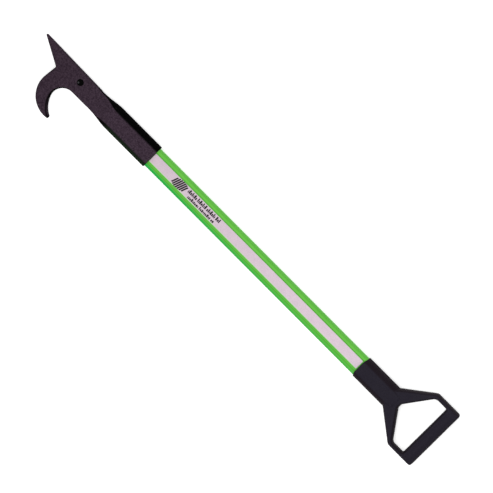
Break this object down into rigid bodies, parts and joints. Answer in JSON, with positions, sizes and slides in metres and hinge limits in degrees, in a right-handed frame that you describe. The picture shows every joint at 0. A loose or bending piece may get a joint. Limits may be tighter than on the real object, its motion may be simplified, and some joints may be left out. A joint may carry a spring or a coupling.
{
  "type": "pole hook with d-shaped grip",
  "caption": "Firefighter's short pole hook: black forged pike-and-hook head on a lime dog-bone fibreglass pole, with a moulded D-shaped grip.",
  "frame": {"origin": "centre of the tool's bounding box in X and Y, on the plane it lies on (the flat backs of the socket, the collar and the grip)", "axes": "+X along the pole from the pike's point to the D grip, +Y away from the hook's opening side (the hook points to -Y), +Z from the flat rear to the front that carries the label strip"},
  "size_m": [0.9144, 0.1386, 0.028],
  "materials": {
    "head_coating": "textured powder coat, satin",
    "plug_rubber": "smooth, slightly glossy",
    "resin": "cured epoxy",
    "pin_steel": "blackened",
    "core_fibreglass": "cut fibreglass, matt",
    "lime_skin": "satin pultruded skin",
    "strip_film": "satin film",
    "handle_nylon": "moulded, fine grain"
  },
  "bodies": {
    "root": {"hook_head": "head_coating", "blade_plug": "plug_rubber", "head_bond": "resin", "head_pin_1": "pin_steel", "head_pin_2": "pin_steel", "pole_core": "core_fibreglass", "pole_skin": "lime_skin", "front_strip": "strip_film", "rear_strip": "strip_film", "handle_bond": "resin", "d_handle": "handle_nylon", "handle_pin_1": "pin_steel", "handle_pin_2": "pin_steel"}
  },
  "joints": []
}
